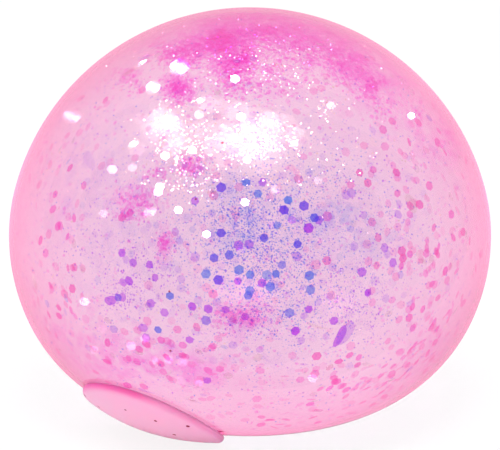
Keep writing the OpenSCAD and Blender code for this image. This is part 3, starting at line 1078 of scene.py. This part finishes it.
# Painted light: the edge's deeper colour is paler by a share on the patch's right-hand side, where shade
# falls on that end: cosine of the turn where that starts, and its rise
EDGE_PAINTED_LIGHT = 0.6
EDGE_PAINTED_LIGHT_START = 0.3
EDGE_PAINTED_LIGHT_RISE = 0.3
# Points of the cement's section, under it, up its lip and over it
CEMENT_POINTS = (18, 6, 12)
# The cement's gap to the skin and the patch, and the lip: its first height, its first step in, and where
# its top and the flat behind it start, in from the patch's edge
SKIM = 0.02 * MM
LIP_H = 0.12 * MM
LIP_STEP = 0.15 * MM
LIP_TOP = 0.2 * MM
LIP_BEHIND = 0.6 * MM
# Points across the stopper's ends and up its side, and steps round it
STOPPER_END, STOPPER_SIDE = 5, 6
STOPPER_STEPS = 48


class BALL_OT_patch(bpy.types.Operator):
    """The patch over the filling mouth, the cement under it and the stopper in the mouth."""

    bl_idname = "ball.patch"
    bl_label = "Patch, cement and stopper"

    def execute(self, context):
        self.patch()
        self.cement()
        self.stopper()
        return {"FINISHED"}

    def patch(self):
        """Section along and above the skin: out under the patch, round the edge and back over the face."""
        s = sizes()
        reach, r = s.patch_d / 2, s.patch_round
        top = s.cement_t + s.patch_t
        turn = np.linspace(np.pi / 2, 0, EDGE_POINTS)[::-1]
        along = np.concatenate([
            np.linspace(0, reach - UNDERCUT, UNDER_POINTS), reach - r + r * np.cos(turn),
            np.linspace(reach - r, 0, FACE_POINTS + 1)[1:]])
        grow = np.concatenate([
            np.full(UNDER_POINTS, s.cement_t), top - r + r * np.sin(turn), np.full(FACE_POINTS, top)])
        grow[UNDER_POINTS:] += s.patch_dome * (1 - (along[UNDER_POINTS:] / reach) ** 2)
        edge = np.clip((along - (reach - BAND_W)) / BAND_RISE, 0, 1) ** 2
        # Painted light: the underside takes the face's colour, so the side wall is paler at its foot, where
        # shade falls in the crevice by the skin
        edge[:UNDER_POINTS] = 0
        # The edge's deeper colour all round, with painted light that makes it paler on the patch's
        # right-hand side
        deep = 1 - EDGE_PAINTED_LIGHT * np.clip((np.cos(full_turn(PATCH_STEPS)) - EDGE_PAINTED_LIGHT_START) / EDGE_PAINTED_LIGHT_RISE, 0, 1)
        shade = {"edge": np.concatenate([edge[:1], np.outer(edge[1:-1], deep).ravel(), edge[-1:]])}
        points, faces = round_form(on_foot(along, grow, PATCH_STEPS))
        obj = new_piece("rubber_patch", points, faces, patch_rubber(), shade=shade)
        put_in_place(obj, "shell", "seal_patch")

    def cement(self):
        """Section along and above the skin: out under the film, up its lip and back over it."""
        s = sizes()
        reach = s.patch_d / 2
        lip = reach + s.cement_lip
        under, up, over = CEMENT_POINTS
        along = np.concatenate([
            np.linspace(0, lip, under), np.linspace(lip - LIP_STEP, reach - LIP_TOP, up),
            np.linspace(reach - LIP_BEHIND, 0, over)])
        grow = np.concatenate([
            np.full(under, SKIM), np.linspace(LIP_H, s.cement_t, up), np.full(over, s.cement_t - SKIM)])
        points, faces = round_form(on_foot(along, grow, PATCH_STEPS))
        obj = new_piece("cement_film", points, faces, cement_film())
        put_in_place(obj, "shell", "cement")

    def stopper(self):
        """Section along and above the skin: out over the inner end, up the taper, back over the outer."""
        s = sizes()
        outside = s.mouth_d / 2 - s.plug_gap
        inside = outside - s.mouth_taper / 2
        along = np.concatenate([
            np.linspace(0, inside, STOPPER_END), np.linspace(inside, outside, STOPPER_SIDE)[1:-1],
            np.linspace(outside, 0, STOPPER_END)])
        grow = np.concatenate([
            np.full(STOPPER_END, -s.skin_t), np.linspace(-s.skin_t, 0, STOPPER_SIDE)[1:-1],
            np.zeros(STOPPER_END)])
        points, faces = round_form(on_foot(along, grow, STOPPER_STEPS))
        obj = new_piece("mouth_stopper", points, faces, plug_rubber())
        put_in_place(obj, "shell", "fill_plug")


class BALL_OT_sequins(bpy.types.Operator):
    """The six-sided film dots in five colours."""

    bl_idname = "ball.sequins"
    bl_label = "Film dots"

    def execute(self, context):
        c = colours()
        rng = np.random.default_rng(seed=5)
        sequin_piece("blue_sequins", BLUE_DOTS, film("blue_film_cut", c.blue, c.cyan),
                     seed=11, loose=14, cover=(0.65, 0.95), far_px=clump_pixels(rng, BLUE_FAR))
        sequin_piece("indigo_sequins", INDIGO_DOTS,
                     film("indigo_film_cut", c.indigo, c.blue, glint=0.2),
                     seed=12, loose=10, cover=(0.65, 0.95), far_px=clump_pixels(rng, INDIGO_FAR))
        sequin_piece("violet_sequins", VIOLET_DOTS + LILAC_DOTS,
                     film("violet_film_cut", c.violet, c.lilac, glint=0.1),
                     seed=13, loose=40, cover=(0.35, 0.85), far_px=clump_pixels(rng, VIOLET_FAR),
                     core=350, dark=len(VIOLET_DOTS))
        pink_px = np.concatenate([PINK_DOTS, clump_pixels(rng, PINK_CLUMPS)])
        sequin_piece("pink_sequins", pink_px, film("pink_film_cut", c.rose, c.pink, glint=0),
                     seed=14, loose=260, cover=(0.2, 0.7))
        sequin_piece("pearl_sequins", PEARL_DOTS, film("pearl_film_cut", c.pearl, c.pearl, mirror=0.25),
                     seed=15, loose=20, cover=(1, 1), flashing=True)
        sequin_piece("pearl_sequins", CREAM_DOTS, film("cream_film_cut", c.cream, c.pearl, mirror=0.38),
                     seed=16, loose=40, cover=(0.07, 0.2), flashing=True,
                     name="cream_sequins_film")
        return {"FINISHED"}


class BALL_OT_specks(bpy.types.Operator):
    """The fine glitter in four colours, and the haze of the finest of it."""

    bl_idname = "ball.specks"
    bl_label = "Fine glitter"

    def execute(self, context):
        c = colours()
        speck_piece("blue_specks", BLUE_CLUMPS, BLUE_CLOUDS,
                    film("blue_glitter", c.blue, c.cyan, glint=0),
                    seed=21, loose=1200, cover=(0.3, 0.8), far_clumps=BLUE_SPECKS_FAR, size=0.8)
        speck_piece("violet_specks", VIOLET_CLUMPS, VIOLET_CLOUDS,
                    film("violet_glitter", c.violet, c.lilac, glint=0),
                    seed=22, loose=2000, cover=(0.4, 0.9), far_clumps=VIOLET_SPECKS_FAR, size=0.9)
        speck_piece("magenta_specks", MAGENTA_CLUMPS, MAGENTA_CLOUDS,
                    film("magenta_glitter", c.magenta, c.hot_pink, glint=0),
                    seed=23, loose=1800, cover=(0.1, 0.35), far_clumps=MAGENTA_SPECKS_FAR,
                    depth=4 * MM, size=2)
        speck_piece("pearl_specks", PEARL_CLUMPS, PEARL_CLOUDS,
                    film("pearl_glitter", c.sparkle, c.sparkle, mirror=0.25),
                    seed=24, loose=500, cover=(0.25, 0.7), depth=4 * MM, flashing=0.7, size=0.7,
                    cloud_cover=PEARL_CLOUD_COVER)
        haze_pieces()
        return {"FINISHED"}


class BALL_OT_flakes(bpy.types.Operator):
    """The larger film offcuts: leaf-shaped, lightly curled sheets."""

    bl_idname = "ball.flakes"
    bl_label = "Film offcuts"

    def execute(self, context):
        c = colours()
        offcut_piece("violet_offcuts", VIOLET_OFFCUTS, film("violet_film_offcuts", c.violet, c.lilac),
                     seed=31)
        offcut_piece("pearl_offcuts", FLASHING_OFFCUTS + PEARL_OFFCUTS,
                     film("pearl_film_offcuts", c.cream, c.pearl, mirror=0.25),
                     seed=32, flashing=len(FLASHING_OFFCUTS), white=len(PEARL_OFFCUTS))
        return {"FINISHED"}


# The floor: half its width in metres, points along a side, and how far it lies under the ball
FLOOR_HALF = 3
FLOOR_POINTS = 13
FLOOR_DROP = 0.2 * MM
# Light passes two faces of each film, so clumps need many steps: through clear film, and past metal film
CLEAR_STEPS = 128
ALPHA_STEPS = 64


class BALL_OT_stage(bpy.types.Operator):
    """A pale floor, white surroundings, two softboxes above the front, and the camera."""

    bl_idname = "ball.stage"
    bl_label = "Studio"

    def execute(self, context):
        scene = context.scene
        scene.view_settings.view_transform = "Standard"
        scene.cycles.transparent_max_bounces = ALPHA_STEPS
        scene.cycles.max_bounces = CLEAR_STEPS
        scene.cycles.transmission_bounces = CLEAR_STEPS

        side = np.linspace(-FLOOR_HALF, FLOOR_HALF, FLOOR_POINTS)
        x, y = np.meshgrid(side, side, indexing="ij")
        points = np.column_stack([x.ravel(), y.ravel(), np.full(x.size, -FLOOR_DROP)])
        new_piece("paper_floor", points, [grid_quads(FLOOR_POINTS, FLOOR_POINTS)], white_paper())

        world = bpy.data.worlds.new("white_tent")
        world.use_nodes = True
        tree = world.node_tree
        tree.nodes.clear()
        sky = add(tree, "ShaderNodeBackground", inputs={"Color": rgba(linear("#FFFFFF")), "Strength": 1})
        add(tree, "ShaderNodeOutputWorld", inputs={"Surface": sky.outputs[0]})
        scene.world = world

        for name, px, wide, high, watts in SOFTBOXES:
            lamp = bpy.data.lights.new(name, "AREA")
            lamp.shape = "RECTANGLE"
            lamp.size, lamp.size_y, lamp.energy = wide, high, watts
            self.aim(lamp, name, lamp_place(*px), ball_middle())

        camera = bpy.data.cameras.new("camera")
        camera.sensor_width = SENSOR_W
        camera.lens = PX_PER_MM / MM * CAMERA_FAR * SENSOR_W / IMAGE_W_PX
        camera.clip_start = 10 * MM
        target = ball_middle() + (RING_Y_PX - IMAGE_H_PX / 2) / PX_PER_MM * MM * TO_TOP
        scene.camera = self.aim(camera, "camera", target + CAMERA_FAR * TO_CAMERA, target)
        return {"FINISHED"}

    def aim(self, data, name, place, target):
        """Puts a lamp or camera at a place, looking along its own -Z at a target, with its Y upwards."""
        obj = bpy.data.objects.new(name, data)
        bpy.context.scene.collection.objects.link(obj)
        back = unit(place - target)
        right = unit(np.cross([0, 0, 1], back))
        matrix = np.eye(4)
        matrix[:3, :3] = np.column_stack([right, np.cross(back, right), back])
        matrix[:3, 3] = place
        obj.matrix_world = Matrix(matrix.tolist())
        return obj


class BALL_PT_panel(bpy.types.Panel):
    """Buttons for the pieces, and the sizes and colours they are built from."""

    bl_idname = "BALL_PT_panel"
    bl_label = "Squishy ball"
    bl_space_type = "VIEW_3D"
    bl_region_type = "UI"
    bl_category = "Squishy ball"

    def draw(self, context):
        for operator in OPERATORS:
            self.layout.operator(operator.bl_idname)
        for group in (context.scene.ball_sizes, context.scene.glitter_sizes, context.scene.ball_colours):
            box = self.layout.box()
            for key in group.__annotations__:
                box.prop(group, key)


OPERATORS = (BALL_OT_skin, BALL_OT_liquid, BALL_OT_patch, BALL_OT_sequins, BALL_OT_specks, BALL_OT_flakes,
             BALL_OT_stage)
CLASSES = (BallSizes, GlitterSizes, BallColours, *OPERATORS, BALL_PT_panel)


def register():
    for cls in CLASSES:
        bpy.utils.register_class(cls)
    bpy.types.Scene.ball_sizes = bpy.props.PointerProperty(type=BallSizes)
    bpy.types.Scene.glitter_sizes = bpy.props.PointerProperty(type=GlitterSizes)
    bpy.types.Scene.ball_colours = bpy.props.PointerProperty(type=BallColours)


def unregister():
    del bpy.types.Scene.ball_colours, bpy.types.Scene.glitter_sizes, bpy.types.Scene.ball_sizes
    for cls in reversed(CLASSES):
        bpy.utils.unregister_class(cls)


def main():
    """Builds every piece in order."""
    register()
    bpy.ops.ball.skin()
    bpy.ops.ball.liquid()
    bpy.ops.ball.patch()
    bpy.ops.ball.sequins()
    bpy.ops.ball.specks()
    bpy.ops.ball.flakes()
    bpy.ops.ball.stage()


if __name__ == "__main__":
    main()
